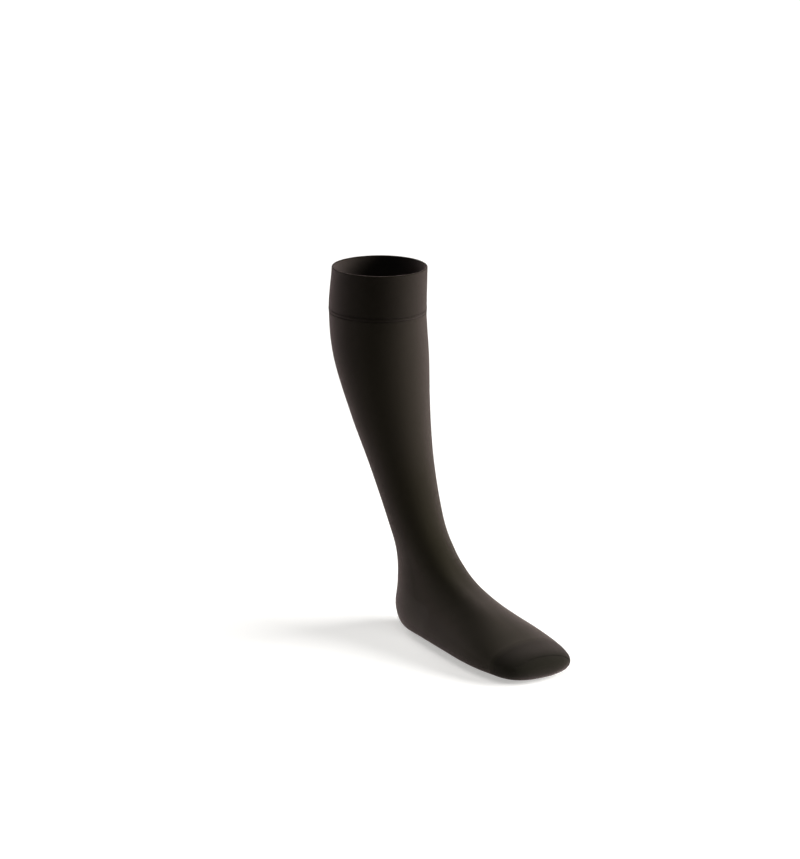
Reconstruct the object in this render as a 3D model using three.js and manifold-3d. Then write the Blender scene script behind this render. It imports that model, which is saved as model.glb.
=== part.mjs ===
// A below-knee compression stocking with a closed toe, hollow and in the shape that it takes when worn.
// Millimetres, +Z up, +X towards the toes, +Y towards the other leg. The origin is the centre of the rim.
import * as THREE from "three";
import { mergeVertices } from "three/addons/utils/BufferGeometryUtils.js";
import Module from "manifold-3d";

// Driving dimensions
const SEAM_GAP = 0.3; // between neighbouring pieces
const BAND_WALL = 2; // the welt is two layers of knit
const LEG_WALL = 1.2;
const REINFORCED_WALL = 1.6; // heel and toe
const RIM_ROUNDING = 0.8; // the fold at the top of the welt
const STEPS_AROUND = 40;
const STEPS_PER_SECTION = 3;
const TOE_END_STEPS = 4; // rings that round the tip off
const CORNER_STEPS = 10; // along each curve of the heel pocket's edge

// Sections of a general leg and foot, from the rim to the tip of the toe.
// x is measured from the back of the heel and z from the sole, both in millimetres. back is the point at the
// back of the leg or under the sole, and front the point at the shin or on the instep. egg narrows the
// section towards its front, square squares its back and blunt its front (2 is an ellipse), skew turns it so
// that the big toe lies ahead, and side is how far its centre lies from the middle of the foot.
const SECTION_COLUMNS = [
  "backX", "backZ", "frontX", "frontZ", "width", "egg", "square", "skew", "side", "blunt",
];
const SECTIONS = {
  "rim": [-27, 412, 77, 415, 94, 0.02, 2, 0, -52, 2],
  "welt seam": [-42, 360, 68, 364, 96, 0.03, 2, 0, -45, 2],
  "widest calf": [-44, 308, 60, 312, 98, 0.04, 2, 0, -36, 2],
  "lower calf": [-32, 244, 54, 248, 83, 0.04, 2, 0, -26, 2],
  "shin": [-18, 185, 53, 189, 67, 0.03, 2, 0, -16, 2.05],
  "ankle": [-1.4, 124, 64, 130.7, 55.3, 0.01, 2, 0, -8.7, 2.1],
  "top of heel": [4.8, 90, 78.8, 99.7, 52.9, 0.03, 2, 0, -3.9, 2.2],
  "back of heel": [4.6, 54, 92.2, 82.5, 54.2, 0.08, 2.1, 0, -0.9, 2.73],
  "round of heel": [0.2, 20, 107.3, 71.7, 58.6, 0.1, 2.2, 0, 0.8, 2.88],
  "under heel": [15.8, 1, 123.2, 64.6, 64.3, 0.11, 2.4, 0, 1.9, 2.74],
  "arch": [57.5, 0, 140.5, 58.4, 72, 0.17, 2.6, 0, 2.8, 2.55],
  "waist": [100.1, 0, 156.4, 52.3, 80.2, 0.17, 2.8, 0.06, 4, 2.34],
  "ball": [145, 0, 174, 44.5, 87.3, 0.16, 3, 0.14, 5.8, 2.3],
  "root of toes": [181, 0, 193.5, 35.5, 87, 0.1, 3, 0.23, 7, 2.2],
  "toes": [209, 0, 215.5, 28, 74, 0.05, 2.6, 0.24, 7, 2.1],
  "tip": [222.2, 5.2, 223.6, 20.2, 46, 0, 2.2, 0.24, 6, 2],
  "end": [225.6, 12.6, 225.6, 12.6, 0, 0, 2, 0.24, 6, 2],
};
const ROWS = Object.values(SECTIONS);
const PLACES = Object.keys(SECTIONS);
const BACK_X = SECTION_COLUMNS.indexOf("backX");
const RIM = PLACES.indexOf("rim");
const WELT_SEAM = PLACES.indexOf("welt seam");
const TIP = PLACES.indexOf("tip");
const END = PLACES.indexOf("end");
const TANGENT_STEP = 0.02; // of a row or a radian, over which a tangent is taken

// The heel pocket, seen from the side: its edge falls from the back of the heel to a rounded corner
// at the side of the foot, and then drops to the sole.
const HEEL_TOP = 75; // height of the pocket's edge at the back
const HEEL_SIDE_HEIGHT = 45; // height of the corner
const HEEL_LENGTH = 79; // from the back of the heel to the pocket's front edge
const HEEL_CORNER = 12; // radius of the corner
const HEEL_UNDERCUT = 3; // how much shorter the pocket is under the sole
const HEEL_SIDE_PULL = 46; // height of the point that bends the edge down from the back to the corner

const TOE_START = 191; // where the toe cap's edge crosses the top of the foot
const TOE_SKEW = 0.18; // how far the edge runs forward for each millimetre towards the big toe

const CLEAR = 120; // how far a cutter reaches past the foot

const YARN_COLOURS = { band: 0x2b2725, leg: 0x2e2a28, heel: 0x322e2b, toe: 0x262422 };
const LEG_ROUGHNESS = 0.85;
const REINFORCED_ROUGHNESS = 0.9;
const MERGE_DISTANCE = 1e-4;

const wasm = await Module();
wasm.setup();

// The numbers of the section at place t, where whole numbers are the rows of the table.
function sectionAt(t) {
  if (t > TIP) return toeEndAt((t - TIP) / (END - TIP));
  const i = Math.min(Math.floor(t), TIP - 1);
  const u = t - i;
  const section = {};
  SECTION_COLUMNS.forEach((column, c) => {
    const b = ROWS[i][c];
    const d = ROWS[i + 1][c];
    const a = i > 0 ? ROWS[i - 1][c] : 2 * b - d;
    const e = ROWS[i + 2][c];
    const bend = (2 * a - 5 * b + 4 * d - e) * u * u + (3 * b - a - 3 * d + e) * u ** 3;
    section[column] = b + 0.5 * ((d - a) * u + bend);
  });
  return section;
}

// Past the tip the sections close on a point, starting in the direction in which the toes run out.
function toeEndAt(u) {
  const section = {};
  const [toes, tip, end] = [ROWS[TIP - 1], ROWS[TIP], ROWS[END]];
  const reach = (end[BACK_X] - tip[BACK_X]) / (end[BACK_X] - toes[BACK_X]);
  SECTION_COLUMNS.forEach((column, c) => {
    const control = tip[c] + (end[c] - toes[c]) * reach;
    section[column] = (1 - u) ** 2 * tip[c] + 2 * u * (1 - u) * control + u * u * end[c];
  });
  return section;
}

// A point of the outer surface. Angle 0 is the front, and half a turn is the back or the sole.
function skinPoint(t, angle) {
  const s = sectionAt(t);
  const cos = Math.cos(angle);
  const sin = Math.sin(angle);
  const power = 2 / (cos < 0 ? s.square : s.blunt);
  const along = Math.sign(cos) * Math.abs(cos) ** power;
  const across = Math.sign(sin) * Math.abs(sin) ** power;
  const y = (s.width / 2) * across * (1 - s.egg * along);
  return new THREE.Vector3(
    (s.backX + s.frontX) / 2 + ((s.frontX - s.backX) / 2) * along + s.skew * y,
    y + s.side,
    (s.backZ + s.frontZ) / 2 + ((s.frontZ - s.backZ) / 2) * along,
  );
}

// The outward direction of the skin, from its two tangents.
function skinNormal(t, angle) {
  const above = skinPoint(Math.max(t - TANGENT_STEP, RIM), angle);
  const below = skinPoint(Math.min(t + TANGENT_STEP, END), angle);
  const before = skinPoint(t, angle - TANGENT_STEP);
  const after = skinPoint(t, angle + TANGENT_STEP);
  return below.sub(above).cross(after.sub(before)).normalize();
}

// One ring of points at place t, moved in from the skin by inset.
function ring(t, inset) {
  const points = [];
  for (let i = 0; i < STEPS_AROUND; i++) {
    const angle = (i / STEPS_AROUND) * 2 * Math.PI;
    points.push(skinPoint(t, angle).addScaledVector(skinNormal(t, angle), -inset));
  }
  return points;
}

// The places of the rings from one row of the table to another.
function places(from, to) {
  const list = [];
  const count = (to - from) * STEPS_PER_SECTION;
  for (let i = 0; i <= count; i++) list.push(from + i / STEPS_PER_SECTION);
  return list;
}

// How far half the gap at the welt's seam reaches along the table.
function halfSeamGap() {
  const height = sectionAt(RIM).backZ - sectionAt(WELT_SEAM).backZ;
  return SEAM_GAP / 2 / height;
}

// A solid from rings that follow each other. Each pole closes one end of the chain, and a chain
// with no poles closes on itself, as the section of a wall does.
function solidFromRings(rings, poles) {
  const points = [...rings.flat(), ...poles];
  const triangles = [];
  const at = (r, i) => (r % rings.length) * STEPS_AROUND + (i % STEPS_AROUND);
  const joins = poles.length ? rings.length - 1 : rings.length;
  for (let r = 0; r < joins; r++) {
    for (let i = 0; i < STEPS_AROUND; i++) {
      triangles.push(at(r, i), at(r + 1, i), at(r + 1, i + 1));
      triangles.push(at(r, i), at(r + 1, i + 1), at(r, i + 1));
    }
  }
  for (let i = 0; poles.length && i < STEPS_AROUND; i++) {
    const first = rings.length * STEPS_AROUND;
    triangles.push(first, at(0, i), at(0, i + 1));
    triangles.push(first + 1, at(rings.length - 1, i + 1), at(rings.length - 1, i));
  }
  return solid(points.flatMap((p) => p.toArray()), triangles);
}

function solid(coordinates, triangles) {
  return new wasm.Manifold(
    new wasm.Mesh({
      numProp: 3,
      vertProperties: new Float32Array(coordinates),
      triVerts: new Uint32Array(triangles),
    }),
  );
}

// A closed three.js geometry as a solid.
function solidOf(geometry) {
  geometry.deleteAttribute("normal");
  geometry.deleteAttribute("uv");
  const merged = mergeVertices(geometry, MERGE_DISTANCE);
  return solid(merged.attributes.position.array, merged.index.array);
}

// The turned welt: two layers of knit, open at both ends, with its upper edge rounded by the fold.
function bandSolid() {
  const list = places(RIM, WELT_SEAM);
  list[list.length - 1] -= halfSeamGap();
  const outer = list.map((t) => ring(t, 0));
  const inner = list.map((t) => ring(t, BAND_WALL)).reverse();
  const fold = ring(RIM, BAND_WALL / 2);
  [outer[0], inner[inner.length - 1]].forEach((edge) => edge.forEach((p) => (p.z -= RIM_ROUNDING)));
  return solidFromRings([fold, ...outer, ...inner], []);
}

// The closed tube of knit from below the welt to the toe, whose wall is as thick as asked.
function tubeSolid(wall) {
  const list = places(WELT_SEAM, TIP);
  list[0] += halfSeamGap();
  for (let i = 1; i < TOE_END_STEPS; i++) list.push(TIP + (i / TOE_END_STEPS) * (END - TIP));
  const outer = list.map((t) => ring(t, 0)).reverse();
  const inner = list.map((t) => ring(t, wall));
  const end = skinPoint(END, 0);
  const rings = [...outer, ...inner].reverse();
  return solidFromRings(rings, [new THREE.Vector3(end.x - wall, end.y, end.z), end]);
}

// A block that holds the heel pocket, grown forward and up by a gap.
function heelBlock(gap) {
  const length = HEEL_LENGTH + gap;
  const height = HEEL_SIDE_HEIGHT + gap;
  const top = HEEL_TOP + gap;
  const shape = new THREE.Shape();
  shape.moveTo(-CLEAR, -CLEAR);
  shape.lineTo(length - HEEL_UNDERCUT, -CLEAR);
  shape.lineTo(length - HEEL_UNDERCUT, 0);
  shape.lineTo(length, height - HEEL_CORNER);
  shape.quadraticCurveTo(length, height, length - HEEL_CORNER, height);
  shape.quadraticCurveTo(length / 2, HEEL_SIDE_PULL + gap, 0, top);
  shape.lineTo(-CLEAR, top + CLEAR);
  const block = new THREE.ExtrudeGeometry(shape, {
    depth: 2 * CLEAR,
    bevelEnabled: false,
    curveSegments: CORNER_STEPS,
  });
  block.rotateX(Math.PI / 2);
  block.translate(0, CLEAR, 0);
  return solidOf(block);
}

// A block that holds the toe cap, grown backwards by a gap.
function toeBlock(gap) {
  const block = new THREE.BoxGeometry(CLEAR, 2 * CLEAR, 2 * CLEAR);
  block.translate(CLEAR / 2 - gap, 0, 0);
  block.rotateZ(-Math.atan(TOE_SKEW));
  block.translate(TOE_START, 0, 0);
  return solidOf(block);
}

function pieceMesh(name, made, colour, roughness) {
  const { numProp, vertProperties, triVerts } = made.getMesh();
  const geometry = new THREE.BufferGeometry();
  const points = new THREE.InterleavedBuffer(vertProperties, numProp);
  geometry.setAttribute("position", new THREE.InterleavedBufferAttribute(points, 3, 0));
  geometry.setIndex(new THREE.BufferAttribute(triVerts, 1));
  const flat = geometry.toNonIndexed();
  flat.computeVertexNormals();
  const material = new THREE.MeshStandardMaterial({ color: colour, roughness, metalness: 0 });
  const mesh = new THREE.Mesh(flat, material);
  mesh.name = name;
  return mesh;
}

const reinforced = tubeSolid(REINFORCED_WALL);
const leg = tubeSolid(LEG_WALL).subtract(heelBlock(SEAM_GAP)).subtract(toeBlock(SEAM_GAP));

const stocking = new THREE.Group();
const rim = sectionAt(RIM);
stocking.position.set(-(rim.backX + rim.frontX) / 2, -rim.side, -(rim.backZ + rim.frontZ) / 2);
stocking.add(
  pieceMesh("top_band", bandSolid(), YARN_COLOURS.band, LEG_ROUGHNESS),
  pieceMesh("leg_and_foot", leg, YARN_COLOURS.leg, LEG_ROUGHNESS),
  pieceMesh("heel_pocket", reinforced.intersect(heelBlock(0)), YARN_COLOURS.heel, REINFORCED_ROUGHNESS),
  pieceMesh("toe_cap", reinforced.intersect(toeBlock(0)), YARN_COLOURS.toe, REINFORCED_ROUGHNESS),
);

const root = new THREE.Group();
root.add(stocking);
export default root;
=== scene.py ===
"""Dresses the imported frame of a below-knee compression stocking with a closed toe.

The stocking is one fine knitted tube in four pieces: the turned welt, the leg and foot, the heel pocket and
the toe cap. Each piece is a thin shell with an outer and an inner face, on the form of its solid. The form
is worked out in millimetres and turned to metres when a mesh is made.
"""
import math
from functools import lru_cache

import bpy
import numpy as np
from bpy.props import FloatProperty, FloatVectorProperty, IntProperty, PointerProperty, StringProperty
from mathutils import Matrix, Vector


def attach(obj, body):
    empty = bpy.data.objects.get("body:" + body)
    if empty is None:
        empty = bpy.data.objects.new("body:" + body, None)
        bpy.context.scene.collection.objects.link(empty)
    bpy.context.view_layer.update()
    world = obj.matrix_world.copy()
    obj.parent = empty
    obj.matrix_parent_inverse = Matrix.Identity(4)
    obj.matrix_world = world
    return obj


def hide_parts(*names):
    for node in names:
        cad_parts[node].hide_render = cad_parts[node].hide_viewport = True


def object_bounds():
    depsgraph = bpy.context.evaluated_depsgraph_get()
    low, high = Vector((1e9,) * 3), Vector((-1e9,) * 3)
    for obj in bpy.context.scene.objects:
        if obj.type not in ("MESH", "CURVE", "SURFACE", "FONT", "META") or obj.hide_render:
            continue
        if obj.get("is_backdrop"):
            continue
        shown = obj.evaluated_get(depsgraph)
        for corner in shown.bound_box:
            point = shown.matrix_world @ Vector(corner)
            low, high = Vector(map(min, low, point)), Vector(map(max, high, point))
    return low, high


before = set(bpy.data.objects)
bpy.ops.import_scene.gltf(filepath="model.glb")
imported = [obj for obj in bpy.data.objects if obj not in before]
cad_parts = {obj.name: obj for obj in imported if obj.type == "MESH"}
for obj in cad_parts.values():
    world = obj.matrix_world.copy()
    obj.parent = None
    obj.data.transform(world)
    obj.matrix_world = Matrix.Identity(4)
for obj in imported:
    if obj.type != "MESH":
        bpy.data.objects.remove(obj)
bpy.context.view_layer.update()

bl_info = {
    "name": "Compression stocking",
    "version": (1, 0, 0),
    "blender": (4, 5, 0),
    "location": "View3D > Sidebar > Stocking",
    "description": "Knits the welt, leg, heel and toe of a compression stocking on its frame",
    "category": "Add Mesh",
}

MM = 0.001
TURN = 2 * math.pi

# The form: sections of a general leg and foot, from the rim to the tip of the toe, in millimetres, with x
# from the back of the heel and z from the sole. back is the point at the back of the leg or under the sole,
# and front the point at the shin or on the instep. egg narrows the section towards its front, square squares
# its back and blunt its front, skew turns it so that the big toe lies ahead, and side is how far its centre
# lies to the side. Columns: backX, backZ, frontX, frontZ, width, egg, square, skew, side, blunt
SECTIONS = {
    "rim": (-27, 412, 77, 415, 94, 0.02, 2, 0, -52, 2),
    "welt seam": (-42, 360, 68, 364, 96, 0.03, 2, 0, -45, 2),
    "widest calf": (-44, 308, 60, 312, 98, 0.04, 2, 0, -36, 2),
    "lower calf": (-32, 244, 54, 248, 83, 0.04, 2, 0, -26, 2),
    "shin": (-18, 185, 53, 189, 67, 0.03, 2, 0, -16, 2.05),
    "ankle": (-1.4, 124, 64, 130.7, 55.3, 0.01, 2, 0, -8.7, 2.1),
    "top of heel": (4.8, 90, 78.8, 99.7, 52.9, 0.03, 2, 0, -3.9, 2.2),
    "back of heel": (4.6, 54, 92.2, 82.5, 54.2, 0.08, 2.1, 0, -0.9, 2.73),
    "round of heel": (0.2, 20, 107.3, 71.7, 58.6, 0.1, 2.2, 0, 0.8, 2.88),
    "under heel": (15.8, 1, 123.2, 64.6, 64.3, 0.11, 2.4, 0, 1.9, 2.74),
    "arch": (57.5, 0, 140.5, 58.4, 72, 0.17, 2.6, 0, 2.8, 2.55),
    "waist": (100.1, 0, 156.4, 52.3, 80.2, 0.17, 2.8, 0.06, 4, 2.34),
    "ball": (145, 0, 174, 44.5, 87.3, 0.16, 3, 0.14, 5.8, 2.3),
    "root of toes": (181, 0, 193.5, 35.5, 87, 0.1, 3, 0.23, 7, 2.2),
    "toes": (209, 0, 215.5, 28, 74, 0.05, 2.6, 0.24, 7, 2.1),
    "tip": (222.2, 5.2, 223.6, 20.2, 46, 0, 2.2, 0.24, 6, 2),
    "end": (225.6, 12.6, 225.6, 12.6, 0, 0, 2, 0.24, 6, 2),
}
ROWS = np.array(list(SECTIONS.values()), float)
RIM, SEAM, TIP, END = (list(SECTIONS).index(place) for place in ("rim", "welt seam", "tip", "end"))
RIM_ROW, SEAM_ROW = SECTIONS["rim"], SECTIONS["welt seam"]
ORIGIN = np.array([(RIM_ROW[0] + RIM_ROW[2]) / 2, RIM_ROW[8], (RIM_ROW[1] + RIM_ROW[3]) / 2])
CALF_GIRTH = math.pi * (SEAM_ROW[2] - SEAM_ROW[0] + SEAM_ROW[4]) / 2

# The edges of the heel pocket and the toe cap, as the solids have them, in millimetres
HEEL_TOP = 75  # height of the pocket's edge at the back
HEEL_SIDE_HEIGHT = 45  # height of its corner at the side of the foot
HEEL_LENGTH = 79  # from the back of the heel to the pocket's front edge
HEEL_CORNER = 12  # from the corner to where its rounding begins and ends
HEEL_UNDERCUT = 3  # how much shorter the pocket is under the sole
HEEL_SIDE_PULL = 46  # height of the point that bends the edge down from the back to the corner
TOE_START = 191  # where the toe cap's edge crosses the middle of the foot
TOE_SKEW = 0.18  # how far that edge runs forward for each millimetre towards the big toe
CLEAR = 120  # how far the heel's outline reaches past the cloth

# How finely the cloth is cut into faces
TANGENT_STEP = 0.02  # of a row or a radian, over which a tangent is taken
LEAST_RINGS = 8  # between two rows of the table
FINE_REACH = 2.4  # millimetres to each side of a linking row, where the rings lie close
FINE_STEP = 0.4
FINE_CLEAR = 0.01  # of a row, which the other rings keep from these close ones
END_CLEAR = 0.004  # of a row, which the close rings keep from the ends of a piece
FOLD_STEPS = 8  # round the fold at the rim

# Low relief of the cloth over its plain form, in millimetres
WELT_RISE = 0.3  # the welt has two layers, so it stands out a little
WELT_STEP = 2.0
REINFORCED_RISE = 0.2  # heel and toe have a second yarn
REINFORCED_STEP = 5.0
LINKING_ROWS = (0.0, 4.0)  # heights above the seam of the two rows that link the welt to the leg
LINKING_DIP = 0.07
LINKING_WIDTH = 0.8
TOE_SEAM_REACH = 9.0  # the toe is closed by a seam across its top, this far behind the tip
TOE_SEAM_TURN = 0.47 * math.pi  # how far round the toe the seam runs to each side

# Colour and finish
# Between these the knit is painted lighter towards the foot: painted light, for more light on the foot than
# the lamps give
FOOT_PAINTED_LIGHT_STARTS = (240, 520)  # millimetres down from the rim, between which the colour turns to that of the foot
EDGE_EASE = 6.0  # millimetres behind the toe cap's edge in which its colour comes in
BLOOM = "#c4b1b0"  # light off the fibre ends, sRGB
LEG_SHEEN = 0.68  # how much of that light each knit has
WELT_SHEEN = 0.62
HEEL_SHEEN = 0.75
TOE_SHEEN = 0.48  # the second yarn of the toe is duller
TOE_SEAM_SHEEN = 0.2


class StockingSizes(bpy.types.PropertyGroup):
    """Sizes of the knit that a user might change."""

    leg_wall: FloatProperty(
        name="Leg wall", description="Thickness of the single knit of the leg", default=0.0008,
        unit="LENGTH")
    welt_wall: FloatProperty(
        name="Welt wall", description="Thickness of the two layers of the welt", default=0.0017,
        unit="LENGTH")
    reinforced_wall: FloatProperty(
        name="Reinforced wall", description="Thickness of the knit of heel and toe", default=0.0011,
        unit="LENGTH")
    wales: IntProperty(name="Wales", description="Columns of stitches round the tube", default=400)
    course: FloatProperty(
        name="Course height", description="Height of one row of stitches", default=0.0007, unit="LENGTH")
    mesh_step: FloatProperty(
        name="Mesh step", description="Longest side of a face of the cloth", default=0.0024, unit="LENGTH")
    gauge: FloatProperty(
        name="Linking gauge", description="Distance between two linking stitches", default=0.0014,
        unit="LENGTH")
    sewing_yarn: FloatProperty(
        name="Sewing yarn", description="Radius of the yarn of the seams", default=0.00016, unit="LENGTH")


class StockingColours(bpy.types.PropertyGroup):
    """Colours of the knit, as sRGB hex values."""

    leg: StringProperty(name="Leg", description="Knit of the leg", default="#181709")
    # The foot's colour is lighter than the leg's as painted light, for more light on the foot than the lamps
    # give
    foot: StringProperty(
        name="Foot", description="The same knit where it lies denser on the foot", default="#25241b")
    welt: StringProperty(name="Welt", description="Knit of the welt", default="#151408")
    heel: StringProperty(name="Heel", description="Knit of the heel pocket", default="#28271f")
    toe: StringProperty(name="Toe", description="Knit of the toe cap", default="#1b1b14")


class StageSettings(bpy.types.PropertyGroup):
    """The floor, the backdrop and the camera."""

    floor: StringProperty(name="Floor", description="Pale matt floor, sRGB hex", default="#dcdbd9")
    backdrop: StringProperty(
        name="Backdrop", description="What lies beyond the floor, sRGB hex", default="#ffffff")
    azimuth: FloatProperty(
        name="Azimuth", description="Camera direction round the stocking", default=math.radians(50.99),
        subtype="ANGLE")
    elevation: FloatProperty(
        name="Elevation", description="Camera height above the horizon", default=math.radians(18.16),
        subtype="ANGLE")
    distance: FloatProperty(name="Distance", description="Camera distance", default=2.492, unit="LENGTH")
    lens: FloatProperty(
        name="Lens", description="Focal length on a 36 mm sensor, in millimetres", default=99.42)
    aim: FloatVectorProperty(
        name="Aim", description="Point that the camera looks at", default=(0.0146, 0.0147, -0.1765),
        subtype="XYZ", unit="LENGTH")


# The form


def sections_at(t):
    """The table's numbers at the places t: a smooth curve through its rows, rounded off past the tip."""
    t = np.asarray(t, float)
    i = np.minimum(t.astype(int), TIP - 1)
    u = (t - i)[..., None]
    b, d = ROWS[i], ROWS[i + 1]
    a = np.where((i > 0)[..., None], ROWS[np.maximum(i - 1, 0)], 2 * b - d)
    e = ROWS[i + 2]
    curve = b + 0.5 * ((d - a) * u + (2 * a - 5 * b + 4 * d - e) * u**2 + (3 * b - a - 3 * d + e) * u**3)
    toes, tip, end = ROWS[TIP - 1], ROWS[TIP], ROWS[END]
    control = tip + (end - toes) * (end[0] - tip[0]) / (end[0] - toes[0])
    w = np.clip(t - TIP, 0, 1)[..., None]
    closing = (1 - w) ** 2 * tip + 2 * w * (1 - w) * control + w**2 * end
    return np.where((t > TIP)[..., None], closing, curve)


def skin(t, angle):
    """Points of the outer form, in millimetres from the heel and sole. Angle 0 is the front."""
    columns = np.moveaxis(sections_at(t), -1, 0)
    back_x, back_z, front_x, front_z, width, egg, square, skew, side, blunt = columns
    cos, sin = np.cos(angle), np.sin(angle)
    power = 2 / np.where(cos < 0, square, blunt)
    along = np.sign(cos) * np.abs(cos) ** power
    across = np.sign(sin) * np.abs(sin) ** power
    y = width / 2 * across * (1 - egg * along)
    x = (back_x + front_x) / 2 + (front_x - back_x) / 2 * along + skew * y
    z = (back_z + front_z) / 2 + (front_z - back_z) / 2 * along
    return np.stack([x, y + side, z], -1)


def skin_normal(t, angle):
    """The outward direction of the form, from its two tangents."""
    step = TANGENT_STEP
    t = np.minimum(t, END - step)
    down = skin(np.minimum(t + step, END), angle) - skin(np.maximum(t - step, RIM), angle)
    around = skin(t, angle + step) - skin(t, angle - step)
    normal = np.cross(down, around)
    return normal / np.linalg.norm(normal, axis=-1, keepdims=True)


@lru_cache(maxsize=None)
def middle_line():
    """Places down the tube, and how far each lies from the rim along its middle line, in millimetres."""
    places = np.linspace(RIM, END, 1201)
    line = (skin(places, 0.0) + skin(places, math.pi)) / 2
    steps = np.linalg.norm(np.diff(line, axis=0), axis=1)
    return places, np.concatenate([[0], np.cumsum(steps)])


def length_down(t):
    places, lengths = middle_line()
    return np.interp(t, places, lengths)


def place_above_seam(height):
    """The place on the table that lies this many millimetres above the seam of the welt."""
    places, lengths = middle_line()
    return np.interp(length_down(SEAM) - height, lengths, places)


def bow(start, control, end, steps=12):
    """Points of a quadratic curve, without its start."""
    s = np.linspace(0, 1, steps + 1)[1:, None]
    return (1 - s) ** 2 * np.array(start) + 2 * s * (1 - s) * np.array(control) + s**2 * np.array(end)


@lru_cache(maxsize=None)
def heel_outline():
    """The heel pocket's edge seen from the side, as points of x and z."""
    front, height = HEEL_LENGTH, HEEL_SIDE_HEIGHT
    below_corner, behind_corner = (front, height - HEEL_CORNER), (front - HEEL_CORNER, height)
    return np.concatenate([
        [(-CLEAR, -CLEAR), (front - HEEL_UNDERCUT, -CLEAR), (front - HEEL_UNDERCUT, 0), below_corner],
        bow(below_corner, (front, height), behind_corner),
        bow(behind_corner, (front / 2, HEEL_SIDE_PULL), (0, HEEL_TOP)),
        [(-CLEAR, HEEL_TOP + CLEAR)],
    ])


def heel_field(points):
    """How far points lie inside the heel pocket's edge, in millimetres, negative outside."""
    a = heel_outline()
    b = np.roll(a, -1, axis=0)
    p = points[..., None, (0, 2)]
    share = ((p - a) * (b - a)).sum(-1) / ((b - a) ** 2).sum(-1)
    nearest = a + np.clip(share, 0, 1)[..., None] * (b - a)
    distance = np.linalg.norm(p - nearest, axis=-1).min(-1)
    crosses = (a[:, 1] > p[..., 1]) != (b[:, 1] > p[..., 1])
    rise = np.where(a[:, 1] == b[:, 1], 1.0, b[:, 1] - a[:, 1])
    x_cross = a[:, 0] + (p[..., 1] - a[:, 1]) * (b[:, 0] - a[:, 0]) / rise
    inside = (crosses & (p[..., 0] < x_cross)).sum(-1) % 2 == 1
    return np.where(inside, distance, -distance)


def toe_field(points):
    """How far points lie inside the toe cap, in millimetres, negative behind its edge."""
    return points[..., 0] - TOE_SKEW * points[..., 1] - TOE_START


def eased(value, width):
    """0 up to the value 0, 1 from width on, and smooth between."""
    u = np.clip(value / width, 0, 1)
    return u * u * (3 - 2 * u)


def relief(t, points):
    """How far the cloth stands out from the plain form, in millimetres."""
    above_seam = length_down(SEAM) - length_down(t)
    height = WELT_RISE * eased(above_seam, WELT_STEP)
    height += REINFORCED_RISE * eased(heel_field(points), REINFORCED_STEP)
    height += REINFORCED_RISE * eased(toe_field(points), REINFORCED_STEP)
    for row in LINKING_ROWS:
        height -= LINKING_DIP * np.exp(-(((above_seam - row) / LINKING_WIDTH) ** 2))
    return height


def cloth(t, angle, inset=0.0):
    """Points of the cloth, in metres in the row's frame, inset millimetres in from its outer face."""
    points = skin(t, angle)
    out = relief(t, points) - inset
    return (points + skin_normal(t, angle) * out[..., None] - ORIGIN) * MM


def cloth_normal(t, angle):
    """The outward direction of the cloth with its relief, so that all pieces are shaded as one surface."""
    step = TANGENT_STEP / 2
    t = np.minimum(t, END - TANGENT_STEP)
    down = cloth(t + step, angle) - cloth(np.maximum(t - step, RIM), angle)
    around = cloth(t, angle + step) - cloth(t, angle - step)
    normal = np.cross(down, around)
    return normal / np.linalg.norm(normal, axis=-1, keepdims=True)


# Patches of the form: an array of (place, angle) and a list of faces


def places_between(start, end, step):
    """Places on the table whose rings lie at most step apart, in millimetres, and closer at the seam."""
    places = [start]
    for row in range(math.floor(start), math.ceil(end)):
        low, high = max(start, row), min(end, row + 1)
        sides = skin(np.array([[low], [high]]), np.array([0, math.pi, math.pi / 2]))
        longest = np.linalg.norm(sides[1] - sides[0], axis=-1).max()
        count = max(math.ceil(longest / step), LEAST_RINGS)
        places += list(np.linspace(low, high, count + 1)[1:])
    offsets = np.arange(-FINE_REACH, FINE_REACH + FINE_STEP / 2, FINE_STEP)
    fine = [place_above_seam(row + offset) for row in LINKING_ROWS for offset in offsets]
    lowest, highest = min(fine) - FINE_CLEAR, max(fine) + FINE_CLEAR
    kept = [t for t in places if not lowest < t < highest or t in (start, end)]
    return np.array(sorted(kept + [t for t in fine if start + END_CLEAR < t < end - END_CLEAR]))


def steps_around():
    step = bpy.context.scene.stocking_sizes.mesh_step / MM
    return 4 * math.ceil(CALF_GIRTH / step / 4)


def ring_faces(first, second, around):
    """Quads between two rings, whose first vertices are given, facing out where the second is lower."""
    turned = [(i, (i + 1) % around) for i in range(around)]
    return [(first + i, second + i, second + j, first + j) for i, j in turned]


def tube_patch():
    """The whole tube below the welt, closed by a pole at the end of the toe."""
    places = places_between(SEAM, END, bpy.context.scene.stocking_sizes.mesh_step / MM)[:-1]
    around = steps_around()
    angles = np.arange(around) / around * TURN
    grid = np.stack(np.meshgrid(places, angles, indexing="ij"), -1).reshape(-1, 2)
    faces = []
    for ring in range(len(places) - 1):
        faces += ring_faces(ring * around, (ring + 1) * around, around)
    last = (len(places) - 1) * around
    faces += [(last + i, len(grid), last + (i + 1) % around) for i in range(around)]
    return np.concatenate([grid, [[END, 0.0]]]), faces


def way_between(a, b, share):
    """Places and angles a share of the way from a to b, the short way round."""
    turn = (b[:, 1] - a[:, 1] + math.pi) % TURN - math.pi
    return np.stack([a[:, 0] + (b[:, 0] - a[:, 0]) * share, a[:, 1] + turn * share], -1)


def edge_cuts(a, b, field, halvings=16):
    """Where the field is nothing on each way from a to b, as shares of the way."""
    low, high = np.zeros(len(a)), np.ones(len(a))
    start = field(skin(*a.T))
    for _ in range(halvings):
        middle = (low + high) / 2
        same = field(skin(*way_between(a, b, middle).T)) * start > 0
        low, high = np.where(same, middle, low), np.where(same, high, middle)
    return (low + high) / 2


def crossing_edges(faces, values):
    edges = {tuple(sorted((face[k - 1], face[k]))) for face in faces for k in range(len(face))}
    return np.array([(a, b) for a, b in sorted(edges) if values[a] * values[b] < 0], int).reshape(-1, 2)


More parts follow.
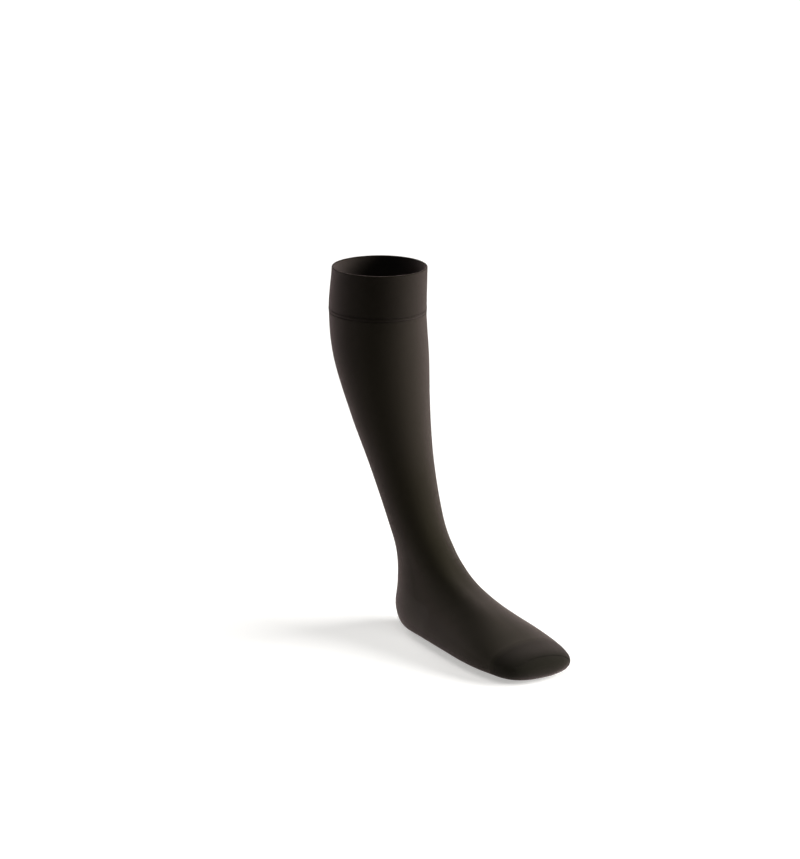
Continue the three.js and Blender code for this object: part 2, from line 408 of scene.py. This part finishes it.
def split_patch(patch, field):
    """Cuts a patch along the line where the field is nothing, into its outside and its inside."""
    params, faces = patch
    params = params.copy()
    values = field(skin(*params.T))
    snap = 0.22  # a corner this near the line is moved onto it, so that no sliver is left
    a, b = crossing_edges(faces, values).T
    share = edge_cuts(params[a], params[b], field)
    near = np.where(share < snap, a, np.where(share > 1 - snap, b, -1))
    corners, first = np.unique(near, return_index=True)
    corners, first = corners[corners >= 0], first[corners >= 0]
    params[corners] = way_between(params[a[first]], params[b[first]], share[first])
    values[corners] = 0.0
    cut = crossing_edges(faces, values)
    start, stop = params[cut[:, 0]], params[cut[:, 1]]
    new = way_between(start, stop, edge_cuts(start, stop, field))
    middle = {tuple(edge): len(params) + n for n, edge in enumerate(cut.tolist())}
    params = np.concatenate([params, new])
    values = values.tolist()
    outside, inside = [], []
    for face in faces:
        sides = [values[i] for i in face]
        if max(sides) <= 0:
            outside.append(face)
        elif min(sides) >= 0:
            inside.append(face)
        else:
            without, within = [], []
            for k, corner in enumerate(face):
                if values[corner] <= 0:
                    without.append(corner)
                if values[corner] >= 0:
                    within.append(corner)
                following = face[(k + 1) % len(face)]
                point = middle.get((min(corner, following), max(corner, following)))
                if point is not None:
                    without.append(point)
                    within.append(point)
            outside.append(tuple(without))
            inside.append(tuple(within))
    return (params, outside), (params, inside)


@lru_cache(maxsize=None)
def tube_pieces():
    """The tube cut into the leg with the foot, the heel pocket and the toe cap."""
    rest, toe = split_patch(tube_patch(), toe_field)
    leg, heel = split_patch(rest, heel_field)
    return {"leg": leg, "heel": heel, "toe": toe}


def open_edges(faces):
    """The edges of a patch that only one face has, in that face's direction."""
    every = {(face[k - 1], face[k]) for face in faces for k in range(len(face))}
    return [(a, b) for a, b in sorted(every) if (b, a) not in every]


# Meshes


def wale_uv(params, face):
    """UV map of the tube: wales round it and courses down it, with its join at the back."""
    sizes = bpy.context.scene.stocking_sizes
    first = params[np.searchsorted(face, face), 1] % TURN
    turn = (params[:, 1] - first + math.pi) % TURN - math.pi
    wale = ((first + math.pi) % TURN + turn) / TURN * sizes.wales
    return np.stack([wale, length_down(params[:, 0]) * MM / sizes.course], -1)


def toe_uv(params, face):
    """UV map of the toe cap, whose wales run straight over the toes, and back on the underside."""
    sizes = bpy.context.scene.stocking_sizes
    t, angle = params.T
    under = (np.bincount(face, weights=np.cos(angle)) < 0)[face]
    down = length_down(t)
    down = np.where(under, 2 * length_down(END) - down, down)
    wale = skin(t, angle)[:, 1] / (CALF_GIRTH / sizes.wales)
    return np.stack([wale, down * MM / sizes.course], -1)


def new_piece(name, points, faces, material, uvs=None):
    """A smooth, closed mesh object at the origin."""
    mesh = bpy.data.meshes.new(name)
    mesh.from_pydata([tuple(p) for p in points], [], faces)
    if open_edges(faces):
        raise RuntimeError(f"{name} is not closed")
    if uvs is not None:
        layer = mesh.uv_layers.new(name="knit")
        layer.data.foreach_set("uv", np.asarray(uvs, np.float32).ravel())
    mesh.shade_smooth()
    mesh.materials.append(material)
    piece = bpy.data.objects.new(name, mesh)
    bpy.context.collection.objects.link(piece)
    return piece


def knit_uvs(params, faces, mapping):
    """UVs for every corner, where the vertices are one or more copies of params."""
    corners = np.concatenate([np.array(face) for face in faces]) % len(params)
    face = np.repeat(np.arange(len(faces)), [len(f) for f in faces])
    return mapping(params[corners], face)


def shell_piece(name, patch, wall, material, mapping):
    """A closed shell: the patch, the same patch moved in by the wall, and a strip along its open edges."""
    params, faces = patch
    used = sorted({i for face in faces for i in face})
    index = {old: new for new, old in enumerate(used)}
    params = params[used]
    count = len(params)
    outer = [tuple(index[i] for i in face) for face in faces]
    inner = [tuple(i + count for i in reversed(face)) for face in outer]
    edge = [(b, a, a + count, b + count) for a, b in open_edges(outer)]
    points = np.concatenate([cloth(*params.T), cloth(*params.T, wall / MM)])
    every = outer + inner + edge
    piece = new_piece(name, points, every, material, knit_uvs(params, every, mapping))
    normals = cloth_normal(*params.T)
    piece.data.normals_split_custom_set_from_vertices(np.concatenate([normals, -normals]))
    add_edge_distance(piece, np.concatenate([params, params]))
    return piece


def add_edge_distance(piece, params):
    """Tells the material how far each point lies from the edge of the heel or toe, in millimetres."""
    points = skin(*params.T)
    distance = np.minimum(np.abs(heel_field(points)), np.abs(toe_field(points)))
    attribute = piece.data.attributes.new("edge_distance", "FLOAT", "POINT")
    attribute.data.foreach_set("value", distance.astype(np.float32))


def welt_piece(name, wall, material):
    """The turned welt: up its outer face, over the fold at the rim, down its inner face and closed below."""
    radius = wall / MM / 2
    fold = place_above_seam(length_down(SEAM) - radius)
    places = places_between(fold, SEAM, bpy.context.scene.stocking_sizes.mesh_step / MM)
    around = steps_around()
    angles = np.arange(around) / around * TURN
    # The section of the wall, as places down the tube and how far the cloth has turned over the fold there
    profile = [(t, 0.0) for t in places[::-1]]
    profile += [(fold, turn) for turn in np.linspace(0, math.pi, FOLD_STEPS + 1)[1:-1]]
    profile += [(t, math.pi) for t in places]
    up = skin(RIM, angles) - skin(RIM + TANGENT_STEP, angles)
    up /= np.linalg.norm(up, axis=-1, keepdims=True)
    rings, normals, faces = [], [], []
    for t, turn in profile:
        level = np.full(around, t)
        rings.append(cloth(level, angles, radius * (1 - math.cos(turn))) + up * radius * math.sin(turn) * MM)
        normals.append(cloth_normal(level, angles) * math.cos(turn) + up * math.sin(turn))
    for ring in range(len(rings)):
        upper = (ring + 1) % len(rings)
        faces += ring_faces(upper * around, ring * around, around)
    params = np.array([(t, angle) for t, _ in profile for angle in angles])
    piece = new_piece(name, np.concatenate(rings), faces, material, knit_uvs(params, faces, wale_uv))
    piece.data.normals_split_custom_set_from_vertices(np.concatenate(normals))
    add_edge_distance(piece, params)
    return piece


# Sewing, by Geometry Nodes


def add_node(tree, kind, inputs=(), **settings):
    """Adds a node with its settings, and gives its inputs values or links them to other sockets."""
    node = tree.nodes.new(kind)
    for key, value in settings.items():
        setattr(node, key, value)
    for key, value in dict(inputs).items():
        if isinstance(value, bpy.types.NodeSocket):
            tree.links.new(value, node.inputs[key])
        else:
            node.inputs[key].default_value = value
    return node


@lru_cache(maxsize=None)
def sewing_tree():
    """A node tree that sets V-shaped linking stitches along a path that carries its outward direction."""
    tree = bpy.data.node_groups.new("Linking stitches", "GeometryNodeTree")
    for name, kind in (
            ("Path", "Geometry"), ("Gauge", "Float"), ("Reach", "Float"), ("Yarn", "Float"),
            ("Rise", "Float"), ("Material", "Material")):
        tree.interface.new_socket(name, in_out="INPUT", socket_type="NodeSocket" + kind)
    tree.interface.new_socket("Stitches", in_out="OUTPUT", socket_type="NodeSocketGeometry")
    given = add_node(tree, "NodeGroupInput").outputs

    # One stitch: two bowed lengths of yarn that meet in a V, a little shorter than the gauge
    half_gauge = add_node(tree, "ShaderNodeMath", {0: given["Gauge"], 1: 0.46}, operation="MULTIPLY")
    half_reach = add_node(tree, "ShaderNodeMath", {0: given["Reach"], 1: 0.5}, operation="MULTIPLY")
    back = add_node(tree, "ShaderNodeMath", {0: half_gauge.outputs[0], 1: -1.0}, operation="MULTIPLY")
    root = add_node(tree, "ShaderNodeCombineXYZ", {"X": back.outputs[0]})
    crown = add_node(tree, "ShaderNodeCombineXYZ", {"Y": half_reach.outputs[0], "Z": given["Rise"]})
    leg_end = add_node(tree, "ShaderNodeCombineXYZ", {
        "X": half_gauge.outputs[0], "Y": half_reach.outputs[0]})
    leg = add_node(tree, "GeometryNodeCurveQuadraticBezier", {
        "Resolution": 4, "Start": root.outputs[0], "Middle": crown.outputs[0], "End": leg_end.outputs[0]})
    mirrored = add_node(tree, "GeometryNodeTransform", {"Geometry": leg.outputs[0], "Scale": (1, -1, 1)})
    both = add_node(tree, "GeometryNodeJoinGeometry")
    tree.links.new(leg.outputs[0], both.inputs[0])
    tree.links.new(mirrored.outputs[0], both.inputs[0])
    round_yarn = add_node(tree, "GeometryNodeCurvePrimitiveCircle", {
        "Resolution": 6, "Radius": given["Yarn"]})
    stitch = add_node(tree, "GeometryNodeCurveToMesh", {
        "Curve": both.outputs[0], "Profile Curve": round_yarn.outputs[0], "Fill Caps": True})

    # The stitches stand on the path, turned to its outward direction and along it, each a little its own way
    path = add_node(tree, "GeometryNodeMeshToCurve", {"Mesh": given["Path"]})
    spaced = add_node(tree, "GeometryNodeResampleCurve", {
        "Curve": path.outputs[0], "Length": given["Gauge"]}, mode="LENGTH")
    out = add_node(tree, "GeometryNodeInputNamedAttribute", {"Name": "out"}, data_type="FLOAT_VECTOR")
    upright = add_node(tree, "FunctionNodeAlignRotationToVector", {"Vector": out.outputs[0]}, axis="Z")
    tangent = add_node(tree, "GeometryNodeInputTangent")
    turned = add_node(tree, "FunctionNodeAlignRotationToVector", {
        "Rotation": upright.outputs[0], "Vector": tangent.outputs[0]}, axis="X", pivot_axis="Z")
    size = add_node(tree, "FunctionNodeRandomValue", {2: 0.9, 3: 1.1, "Seed": 7})
    placed = add_node(tree, "GeometryNodeInstanceOnPoints", {
        "Points": spaced.outputs[0], "Instance": stitch.outputs[0], "Rotation": turned.outputs[0],
        "Scale": size.outputs[1]})
    real = add_node(tree, "GeometryNodeRealizeInstances", {"Geometry": placed.outputs[0]})
    smooth = add_node(tree, "GeometryNodeSetShadeSmooth", {"Geometry": real.outputs[0]})
    dyed = add_node(tree, "GeometryNodeSetMaterial", {
        "Geometry": smooth.outputs[0], "Material": given["Material"]})
    add_node(tree, "NodeGroupOutput", {"Stitches": dyed.outputs[0]})
    return tree


def sewn_piece(name, paths, reach, rise, material):
    """Stitches along paths on the cloth. A path is an array of (place, angle), closed where it ends a turn
    on, and how far inside the outer face it runs, in millimetres: 0 outside, the wall on the inner face."""
    points, outward, edges = [], [], []
    for path, inset in paths:
        t, angle = path.T
        first = len(points)
        points += [tuple(p) for p in cloth(t, angle, inset)]
        outward += [tuple(n) for n in skin_normal(t, angle) * (-1 if inset else 1)]
        edges += [(i, i + 1) for i in range(first, len(points) - 1)]
        if np.allclose(path[0], path[-1] - (0, TURN)):
            points.pop()
            outward.pop()
            edges[-1] = (len(points) - 1, first)
    mesh = bpy.data.meshes.new(name)
    mesh.from_pydata(points, edges, [])
    out = mesh.attributes.new("out", "FLOAT_VECTOR", "POINT")
    out.data.foreach_set("vector", np.array(outward, np.float32).ravel())
    piece = bpy.data.objects.new(name, mesh)
    bpy.context.collection.objects.link(piece)
    sizes = bpy.context.scene.stocking_sizes
    tree = sewing_tree()
    modifier = piece.modifiers.new("Stitches", "NODES")
    modifier.node_group = tree
    given = {"Gauge": sizes.gauge, "Reach": reach * MM, "Yarn": sizes.sewing_yarn, "Rise": rise * MM,
             "Material": material}
    for item in tree.interface.items_tree:
        if item.in_out == "INPUT" and item.name in given:
            modifier[item.identifier] = given[item.name]
    evaluated = piece.evaluated_get(bpy.context.evaluated_depsgraph_get())
    finished = bpy.data.meshes.new_from_object(evaluated)
    piece.modifiers.clear()
    piece.data = finished
    if not finished.polygons:
        raise RuntimeError(f"{name} has no stitches")
    return piece


def ring_path(t, steps=360):
    angles = np.linspace(0, TURN, steps + 1)
    return np.stack([np.full(steps + 1, t), angles], -1)


def toe_seam_path(steps=90, halvings=20):
    """The line across the top of the toes, from side to side, where the tube of the foot is closed."""
    angles = np.linspace(-TOE_SEAM_TURN, TOE_SEAM_TURN, steps)
    skew = ROWS[TIP][7]
    reach = ROWS[END][0] - TOE_SEAM_REACH
    low, high = np.full(len(angles), TIP - 2.0), np.full(len(angles), END - 0.01)
    for _ in range(halvings):
        middle = (low + high) / 2
        points = skin(middle, angles)
        behind = points[:, 0] - skew * points[:, 1] < reach
        low, high = np.where(behind, middle, low), np.where(behind, high, middle)
    return np.stack([(low + high) / 2, angles], -1)


# Materials


def linear(hex_colour):
    """An sRGB hex colour as linear RGBA."""
    parts = [int(hex_colour[i:i + 2], 16) / 255 for i in (1, 3, 5)]
    return tuple(c / 12.92 if c <= 0.04045 else ((c + 0.055) / 1.055) ** 2.4 for c in parts) + (1.0,)


def knit_material(name, colour, sheen, other=None, at_edge=False, depth=0.16, streak=0.12):
    """Polyamide and elastane microfibre, knitted fine and heat set: matt black, with a soft brown-grey bloom
    where the light grazes the fibre ends, faint lengthwise streaks from uneven yarn, and small V-shaped
    stitches, which are depth millimetres deep. A second colour takes over towards the foot, painted lighter
    there as painted light, for more light on the foot than the lamps give, or else at the piece's edge,
    where its yarn comes in over a few rows."""
    courses_per_mm = MM / bpy.context.scene.stocking_sizes.course
    material = bpy.data.materials.new(name)
    material.use_nodes = True
    tree = material.node_tree
    tree.nodes.clear()
    uv = add_node(tree, "ShaderNodeUVMap", uv_map="knit")
    # A wale is 0.5 to 0.8 mm wide, too fine for the render, so the stitches are drawn twice as large
    stitches = add_node(tree, "ShaderNodeMapping", {"Vector": uv.outputs[0], "Scale": (0.5, 0.5, 1)})
    wale, course = add_node(tree, "ShaderNodeSeparateXYZ", {0: stitches.outputs[0]}).outputs[:2]
    across = add_node(tree, "ShaderNodeMath", {0: wale, 1: 0.5}, operation="PINGPONG").outputs[0]
    turned = add_node(tree, "ShaderNodeMath", {0: across, 1: TURN}, operation="MULTIPLY").outputs[0]
    legs = add_node(tree, "ShaderNodeMath", {0: turned}, operation="SINE").outputs[0]
    slanted = add_node(tree, "ShaderNodeMath", {0: across, 1: 1.4, 2: course},
                       operation="MULTIPLY_ADD").outputs[0]
    phase = add_node(tree, "ShaderNodeMath", {0: slanted, 1: TURN}, operation="MULTIPLY").outputs[0]
    loops = add_node(tree, "ShaderNodeMath", {0: phase}, operation="SINE").outputs[0]
    swell = add_node(tree, "ShaderNodeMath", {0: loops, 1: 0.25, 2: 0.75},
                     operation="MULTIPLY_ADD").outputs[0]
    height = add_node(tree, "ShaderNodeMath", {0: legs, 1: swell}, operation="MULTIPLY").outputs[0]

    # Yarn varies along each wale, over about 3 mm across and 60 mm along, and in patches of about 22 mm
    along = add_node(tree, "ShaderNodeMapping", {"Vector": uv.outputs[0], "Scale": (0.25, 0.012, 1)})
    streaks = add_node(tree, "ShaderNodeTexNoise", {
        "Vector": along.outputs[0], "Scale": 1.0, "Detail": 3.0, "Roughness": 0.6}, noise_dimensions="2D")
    place = add_node(tree, "ShaderNodeTexCoord").outputs["Object"]
    mottle = add_node(tree, "ShaderNodeTexNoise", {"Vector": place, "Scale": 45.0, "Detail": 4.0})
    uneven = add_node(tree, "ShaderNodeMath", {0: streaks.outputs[0], 1: mottle.outputs[0]}, operation="ADD")

    # The row where heel or toe begins lies 0.6 mm deep between the two knits, and is painted a tenth darker,
    # as painted shade in that groove
    edge = add_node(tree, "ShaderNodeAttribute", attribute_name="edge_distance", attribute_type="GEOMETRY")
    valley = add_node(tree, "ShaderNodeMapRange", {
        "Value": edge.outputs["Fac"], "From Min": 0.0, "From Max": 0.6, "To Min": 0.0, "To Max": 1.0},
        interpolation_type="SMOOTHSTEP").outputs[0]

    # The yarn is painted darker where the stitches dip, as painted shade between the loops; the streaks and
    # patches are the yarn's own uneven tone
    lit = add_node(tree, "ShaderNodeMath", {0: height, 1: 0.3, 2: 0.7}, operation="MULTIPLY_ADD").outputs[0]
    tone_and_painted_shade = add_node(tree, "ShaderNodeMath", {0: uneven.outputs[0], 1: streak, 2: 1 - streak},
                     operation="MULTIPLY_ADD").outputs[0]
    tone_and_painted_shade = add_node(tree, "ShaderNodeMath", {0: tone_and_painted_shade, 1: lit}, operation="MULTIPLY").outputs[0]
    painted_groove_shade = add_node(tree, "ShaderNodeMath", {0: valley, 1: 0.1, 2: 0.9}, operation="MULTIPLY_ADD").outputs[0]
    tone_and_painted_shade = add_node(tree, "ShaderNodeMath", {0: tone_and_painted_shade, 1: painted_groove_shade}, operation="MULTIPLY").outputs[0]
    # Down the leg the colour turns lighter towards the foot as painted light; the toe turns to that same
    # colour at its edge
    down = add_node(tree, "ShaderNodeSeparateXYZ", {0: uv.outputs[0]}).outputs[1]
    way, start, full = (edge.outputs["Fac"], EDGE_EASE, 0.0) if at_edge else (
        down, FOOT_PAINTED_LIGHT_STARTS[0] * courses_per_mm, FOOT_PAINTED_LIGHT_STARTS[1] * courses_per_mm)
    share = add_node(tree, "ShaderNodeMapRange", {"Value": way, "From Min": start, "From Max": full},
                     interpolation_type="SMOOTHSTEP").outputs[0]
    dye_and_painted_foot_light = add_node(tree, "ShaderNodeMix", {
        "Factor": share, "A": linear(colour)[:3], "B": linear(other or colour)[:3]}, data_type="VECTOR")
    yarn = add_node(tree, "ShaderNodeVectorMath", {0: dye_and_painted_foot_light.outputs["Result"], "Scale": tone_and_painted_shade},
                    operation="SCALE")

    deep = add_node(tree, "ShaderNodeMath", {0: valley, 1: 0.4, 2: height},
                    operation="MULTIPLY_ADD").outputs[0]
    bump = add_node(tree, "ShaderNodeBump", {"Height": deep, "Strength": 0.6, "Distance": depth * MM})
    surface = add_node(tree, "ShaderNodeBsdfPrincipled", {
        "Base Color": yarn.outputs[0], "Normal": bump.outputs[0], "Roughness": 0.7,
        "Specular IOR Level": 0.0, "Sheen Weight": sheen, "Sheen Roughness": 0.48,
        "Sheen Tint": linear(BLOOM)})
    add_node(tree, "ShaderNodeOutputMaterial", {"Surface": surface.outputs[0]})
    return material


def floor_material(colour):
    """Opal light table: pale and matt, and lit from below, which keeps its shadows light. It looks endless,
    but only its middle lights the cloth, and faintly, so that the foot takes more of its glow than the calf
    does."""
    material = bpy.data.materials.new("opal light table")
    material.use_nodes = True
    tree = material.node_tree
    tree.nodes.clear()
    place = add_node(tree, "ShaderNodeTexCoord").outputs["Object"]
    level = add_node(tree, "ShaderNodeVectorMath", {0: place, 1: (1, 1, 0)}, operation="MULTIPLY").outputs[0]
    away = add_node(tree, "ShaderNodeVectorMath", {0: level}, operation="LENGTH").outputs["Value"]
    near = add_node(tree, "ShaderNodeMapRange", {
        "Value": away, "From Min": TABLE_REACH[0], "From Max": TABLE_REACH[1], "To Min": 1.0, "To Max": 0.0},
        interpolation_type="SMOOTHSTEP").outputs[0]
    rays = add_node(tree, "ShaderNodeLightPath")
    seen = rays.outputs["Is Camera Ray"]
    share = add_node(tree, "ShaderNodeMath", {0: near, 1: seen}, operation="MAXIMUM")
    pale = add_node(tree, "ShaderNodeVectorMath", {0: linear(colour)[:3], "Scale": share.outputs[0]},
                    operation="SCALE")
    lights = add_node(tree, "ShaderNodeMath", {0: near, 1: TABLE_GLOW}, operation="MULTIPLY").outputs[0]
    glow = add_node(tree, "ShaderNodeMath", {0: seen, 1: TABLE_SEEN, 2: lights}, operation="MULTIPLY_ADD")
    surface = add_node(tree, "ShaderNodeBsdfPrincipled", {
        "Base Color": pale.outputs[0], "Roughness": 0.9, "Specular IOR Level": 0.0,
        "Emission Color": linear(colour), "Emission Strength": glow.outputs[0]})
    add_node(tree, "ShaderNodeOutputMaterial", {"Surface": surface.outputs[0]})
    return material


def declare(piece, node):
    """A cloth piece moves with the one body, and stands for its solid."""
    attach(piece, "root")
    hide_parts(node)


# Operators


class KnitWelt(bpy.types.Operator):
    """Knit the turned welt at the top of the stocking"""

    bl_idname = "stocking.knit_welt"
    bl_label = "Knit welt"

    def execute(self, context):
        colour = context.scene.stocking_colours.welt
        material = knit_material("polyamide elastane knit, turned double", colour, WELT_SHEEN)
        piece = welt_piece("welt", context.scene.stocking_sizes.welt_wall, material)
        declare(piece, "top_band")
        return {"FINISHED"}


class KnitLeg(bpy.types.Operator):
    """Knit the leg and the foot"""

    bl_idname = "stocking.knit_leg"
    bl_label = "Knit leg and foot"

    def execute(self, context):
        colours = context.scene.stocking_colours
        material = knit_material("polyamide elastane microfibre knit", colours.leg, LEG_SHEEN, colours.foot)
        piece = shell_piece(
            "leg", tube_pieces()["leg"], context.scene.stocking_sizes.leg_wall, material, wale_uv)
        declare(piece, "leg_and_foot")
        return {"FINISHED"}


class KnitHeel(bpy.types.Operator):
    """Knit the heel pocket"""

    bl_idname = "stocking.knit_heel"
    bl_label = "Knit heel"

    def execute(self, context):
        colour = context.scene.stocking_colours.heel
        material = knit_material("polyamide elastane knit, plated heel", colour, HEEL_SHEEN)
        piece = shell_piece(
            "heel", tube_pieces()["heel"], context.scene.stocking_sizes.reinforced_wall, material, wale_uv)
        declare(piece, "heel_pocket")
        return {"FINISHED"}


class KnitToe(bpy.types.Operator):
    """Knit the toe cap"""

    bl_idname = "stocking.knit_toe"
    bl_label = "Knit toe"

    def execute(self, context):
        colours = context.scene.stocking_colours
        material = knit_material(
            "polyamide elastane knit, plated toe", colours.toe, TOE_SHEEN, colours.foot, at_edge=True)
        piece = shell_piece(
            "toe", tube_pieces()["toe"], context.scene.stocking_sizes.reinforced_wall, material, toe_uv)
        declare(piece, "toe_cap")
        return {"FINISHED"}


class SewSeams(bpy.types.Operator):
    """Link the welt, sew down its hem and close the toe"""

    bl_idname = "stocking.sew_seams"
    bl_label = "Sew seams"

    def execute(self, context):
        colours = context.scene.stocking_colours
        rows = [(ring_path(place_above_seam(row)), 0.0) for row in LINKING_ROWS]
        welt_wall = context.scene.stocking_sizes.welt_wall / MM
        inner_row = (ring_path(place_above_seam(LINKING_ROWS[-1])), welt_wall)
        # Each seam has its paths, how far a stitch reaches across it and rises over it in millimetres, its
        # yarn's colour and sheen, and a slot
        seams = {
            "welt_linking": (rows + [inner_row], 0.9, 0.15, colours.welt, WELT_SHEEN, "band_knit"),
            "toe_seam": ([(toe_seam_path(), 0.0)], 0.8, 0.12, colours.toe, TOE_SEAM_SHEEN, "toe_knit"),
        }
        for name, (paths, reach, rise, colour, sheen, slot) in seams.items():
            yarn = knit_material("polyamide sewing yarn", colour, sheen, depth=0.02, streak=0.0)
            piece = sewn_piece(name, paths, reach, rise, yarn)
            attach(piece, "root")
        return {"FINISHED"}


# Soft lights far off, as wide as large softboxes: each one's turn from the camera to the right and its
# height, both in degrees, and its strength
LIGHTS = {
    "right softbox": (88, 20, 6.9),
    "left softbox": (-110, 20, 0.4),
    "left rear softbox": (-145, 20, 1.5),
    "overhead softbox": (20, 65, 0.95),
}
LIGHT_WIDTH = math.radians(40)
WORLD_FILL = 0.01
TABLE_GLOW = 0.25  # on the cloth
TABLE_SEEN = 0.35  # more of it, to the camera
TABLE_REACH = (0.25, 0.9)  # metres from the middle of the table, over which its light on the cloth fades
TABLE_HALF = 40.0  # metres, so that it looks endless
TABLE_GAP = 0.0002  # metres below the sole


def direction(azimuth, elevation):
    """Towards a place round the stocking and over the horizon, where azimuth 0 is the side of -Y."""
    level = math.cos(elevation)
    return Vector((math.sin(azimuth) * level, -math.cos(azimuth) * level, math.sin(elevation)))


def soft_light(name, towards, strength):
    light = bpy.data.lights.new(name, "SUN")
    light.angle = LIGHT_WIDTH
    light.energy = strength
    lamp = bpy.data.objects.new(name, light)
    lamp.rotation_euler = towards.to_track_quat("Z", "Y").to_euler()
    bpy.context.collection.objects.link(lamp)


def studio_world(colour):
    """A world that gives the cloth next to no light, and looks as pale as the floor behind it."""
    world = bpy.data.worlds.new("studio")
    world.use_nodes = True
    tree = world.node_tree
    tree.nodes.clear()
    fill = add_node(tree, "ShaderNodeBackground", {"Color": linear(colour), "Strength": WORLD_FILL})
    seen = add_node(tree, "ShaderNodeBackground", {"Color": linear(colour)})
    rays = add_node(tree, "ShaderNodeLightPath")
    mixed = add_node(tree, "ShaderNodeMixShader", {
        0: rays.outputs["Is Camera Ray"], 1: fill.outputs[0], 2: seen.outputs[0]})
    add_node(tree, "ShaderNodeOutputWorld", {"Surface": mixed.outputs[0]})
    return world


class SetStage(bpy.types.Operator):
    """Set the floor, the soft studio lights and the camera"""

    bl_idname = "stocking.set_stage"
    bl_label = "Set stage"

    def execute(self, context):
        stage = context.scene.stocking_stage
        aim = Vector(stage.aim)
        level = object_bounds()[0].z - TABLE_GAP
        half = TABLE_HALF
        mesh = bpy.data.meshes.new("floor")
        corners = [(-half, -half, level), (half, -half, level), (half, half, level), (-half, half, level)]
        mesh.from_pydata(corners, [], [(0, 1, 2, 3)])
        mesh.materials.append(floor_material(stage.floor))
        floor = bpy.data.objects.new("floor", mesh)
        context.collection.objects.link(floor)
        floor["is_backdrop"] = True

        back = direction(stage.azimuth, stage.elevation)
        right = Vector((math.cos(stage.azimuth), math.sin(stage.azimuth), 0))
        up = back.cross(right)
        camera = bpy.data.objects.new("camera", bpy.data.cameras.new("camera"))
        camera.data.lens = stage.lens
        camera.matrix_world = Matrix.Translation(aim + back * stage.distance) @ Matrix(
            (right, up, back)).transposed().to_4x4()
        context.collection.objects.link(camera)
        context.scene.camera = camera

        for name, (turn, height, strength) in LIGHTS.items():
            soft_light(name, direction(stage.azimuth + math.radians(turn), math.radians(height)), strength)
        context.scene.world = studio_world(stage.backdrop)
        context.scene.view_settings.view_transform = "Standard"
        return {"FINISHED"}


class StockingPanel(bpy.types.Panel):
    """The steps that make the stocking, with their sizes and colours"""

    bl_idname = "VIEW3D_PT_stocking"
    bl_label = "Compression stocking"
    bl_space_type = "VIEW_3D"
    bl_region_type = "UI"
    bl_category = "Stocking"

    def draw(self, context):
        for name in ("stocking_sizes", "stocking_colours", "stocking_stage"):
            settings = getattr(context.scene, name)
            box = self.layout.box()
            for key in settings.__annotations__:
                box.prop(settings, key)
        for step in STEPS:
            self.layout.operator(step.bl_idname)


STEPS = (KnitWelt, KnitLeg, KnitHeel, KnitToe, SewSeams, SetStage)
SETTINGS = (StockingSizes, StockingColours, StageSettings)


def register():
    for cls in (*SETTINGS, *STEPS, StockingPanel):
        bpy.utils.register_class(cls)
    bpy.types.Scene.stocking_sizes = PointerProperty(type=StockingSizes)
    bpy.types.Scene.stocking_colours = PointerProperty(type=StockingColours)
    bpy.types.Scene.stocking_stage = PointerProperty(type=StageSettings)


def unregister():
    del bpy.types.Scene.stocking_stage, bpy.types.Scene.stocking_colours, bpy.types.Scene.stocking_sizes
    for cls in (StockingPanel, *reversed(STEPS), *reversed(SETTINGS)):
        bpy.utils.unregister_class(cls)


def main():
    register()
    for step in STEPS:
        operator = getattr(bpy.ops.stocking, step.bl_idname.split(".")[1])
        operator()


if __name__ == "__main__":
    main()
